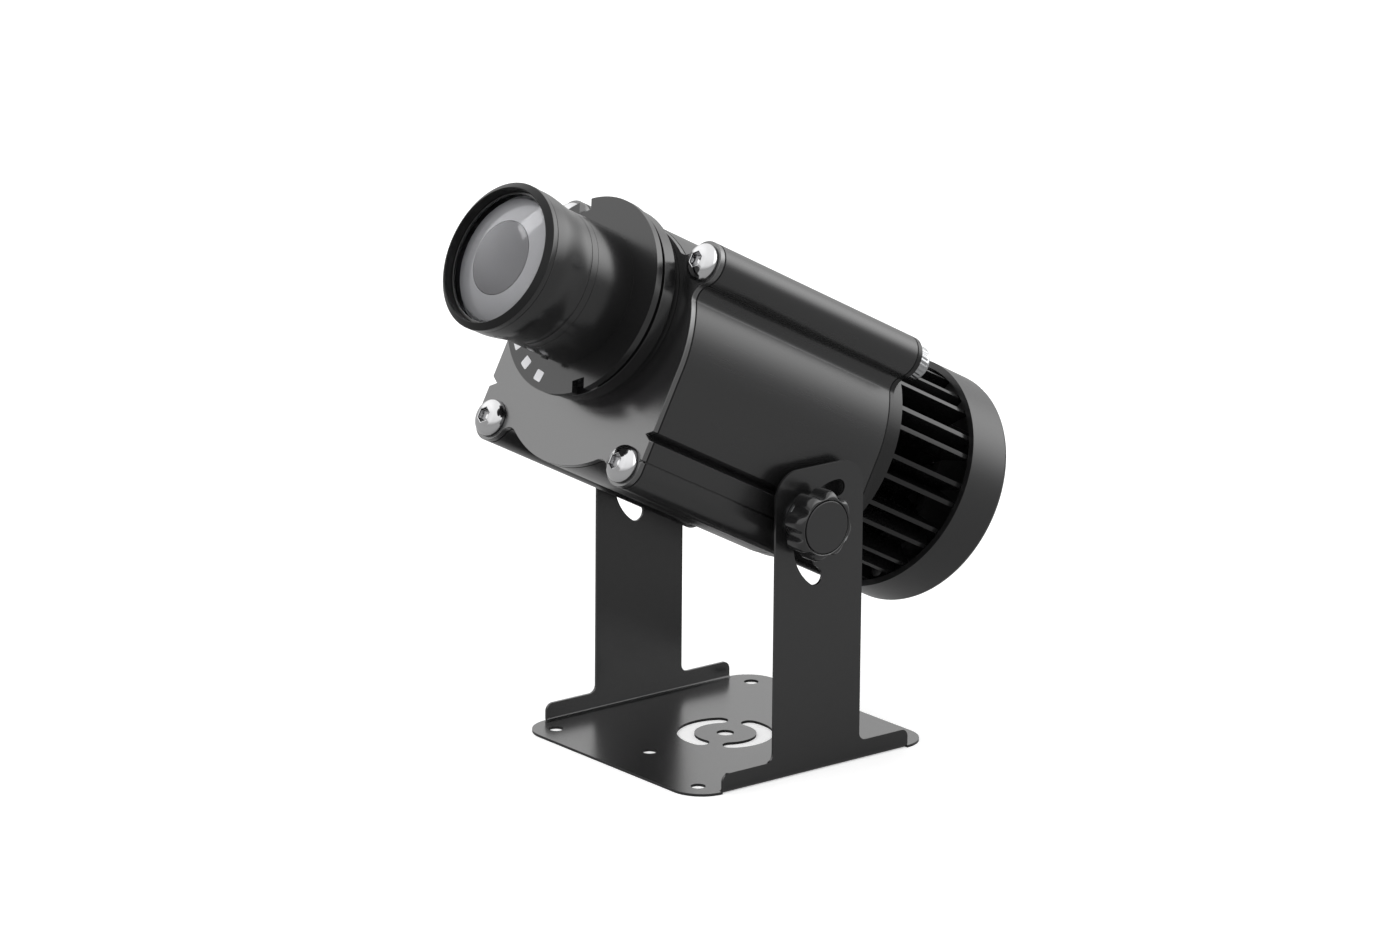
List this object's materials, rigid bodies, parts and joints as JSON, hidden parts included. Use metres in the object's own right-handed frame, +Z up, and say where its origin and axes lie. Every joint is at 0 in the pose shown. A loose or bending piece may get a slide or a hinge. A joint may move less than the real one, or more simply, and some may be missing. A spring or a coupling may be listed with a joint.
{
  "type": "gobo projector",
  "caption": "Compact LED gobo projector: ribbed extruded body with finned heat sink and fan cap, bayonet lens with focus slide, tilting in a bent steel U bracket with star knobs.",
  "frame": {"origin": "centre of the base plate's underside, in the middle of the centre hole", "axes": "+Z up, X along the tilt axis across the two arms, the lens looks towards -Y and upwards"},
  "size_m": [0.1302, 0.2328, 0.224],
  "materials": {
    "bracket_black": "satin black powder coat",
    "body_black": "satin black anodised",
    "sink_black": "matte black anodised",
    "lens_black": "satin black anodised",
    "inner_aluminium": "machined",
    "bright_screw": "polished",
    "zinc_screw": "bright zinc",
    "steel": "turned",
    "knob_black": "fine grain",
    "nylon_black": "moulded",
    "fan_black": "moulded",
    "rubber_black": "matte",
    "glass": "coated",
    "circuit": "solder mask",
    "circuit_parts": "moulded",
    "led_white": "ceramic",
    "led_phosphor": "clear dome on phosphor"
  },
  "bodies": {
    "bracket": {"u_bracket": "bracket_black", "pivot_bushes": "nylon_black"},
    "head": {"body_extrusion": "body_black", "front_plate": "body_black", "front_gasket": "rubber_black", "rear_gasket": "rubber_black", "front_screws": "bright_screw", "rear_screws": "zinc_screw", "pivot_screws": "steel", "pivot_spacers": "nylon_black", "clamp_spacers": "nylon_black", "mount_collar": "body_black", "collar_screws": "steel", "gobo_holder": "inner_aluminium", "gobo_disc": "steel", "gobo_spring": "steel", "condenser_tube": "lens_black", "condenser_lens_front": "glass", "condenser_lens_rear": "glass", "condenser_spacer": "lens_black", "condenser_retainer": "lens_black", "led_board": "led_white", "led_emitter": "led_phosphor", "led_screws": "steel", "driver_board": "circuit", "driver_parts": "circuit_parts", "heat_sink": "sink_black", "rear_cap": "body_black", "cap_screws": "steel", "fan_frame": "fan_black", "cable_grommet": "rubber_black"},
    "fan": {"fan_rotor": "fan_black"},
    "lens_mount": {"lens_flange": "lens_black", "lens_seal": "rubber_black", "grip_ring": "lens_black", "rear_lens": "glass", "rear_lens_ring": "lens_black", "focus_stop_screw": "steel"},
    "lens_slide": {"lens_tube": "lens_black", "front_lens": "glass", "front_retainer": "lens_black", "stop_ring": "lens_black", "inner_lens": "glass", "focus_o_ring": "rubber_black"},
    "right_clamp": {"right_clamp_washer": "zinc_screw"},
    "right_knob": {"right_knob": "knob_black", "right_knob_cap": "knob_black", "right_stud": "steel"},
    "left_clamp": {"left_clamp_washer": "zinc_screw"},
    "left_knob": {"left_knob": "knob_black", "left_knob_cap": "knob_black", "left_stud": "steel"}
  },
  "joints": [
    {"name": "head_tilt", "type": "hinge", "parent": "bracket", "child": "head", "pos_m": [0, 0.0085, 0.0887], "axis": [-1, 0, 0], "range_deg": [-65, 62]},
    {"name": "lens_mount_turn", "type": "hinge", "parent": "head", "child": "lens_mount", "pos_m": [0, -0.05549, 0.17252], "axis": [0, -0.8846, 0.4664], "range_deg": [0, 25]},
    {"name": "focus_slide", "type": "slide", "parent": "lens_mount", "child": "lens_slide", "axis": [0, -0.8846, 0.4664], "range_m": [0, 0.007]},
    {"name": "fan_spin", "type": "hinge", "parent": "head", "child": "fan", "pos_m": [0, 0.08352, 0.08453], "axis": [0, 0.8846, -0.4664], "continuous": true},
    {"name": "right_clamp_travel", "type": "slide", "parent": "head", "child": "right_clamp", "axis": [1, 0, 0], "range_m": [0, 0.0016]},
    {"name": "right_knob_turn", "type": "hinge", "parent": "right_clamp", "child": "right_knob", "pos_m": [0.06, -0.00698, 0.09686], "axis": [1, 0, 0], "range_deg": [0, 540]},
    {"name": "left_clamp_travel", "type": "slide", "parent": "head", "child": "left_clamp", "axis": [-1, 0, 0], "range_m": [0, 0.0016]},
    {"name": "left_knob_turn", "type": "hinge", "parent": "left_clamp", "child": "left_knob", "pos_m": [-0.06, -0.00698, 0.09686], "axis": [-1, 0, 0], "range_deg": [0, 540]}
  ],
  "couplings": [
    {"joint": "right_clamp_travel", "follows": "right_knob_turn", "m_per_rad": 0.00015915},
    {"joint": "left_clamp_travel", "follows": "left_knob_turn", "m_per_rad": 0.00015915}
  ]
}
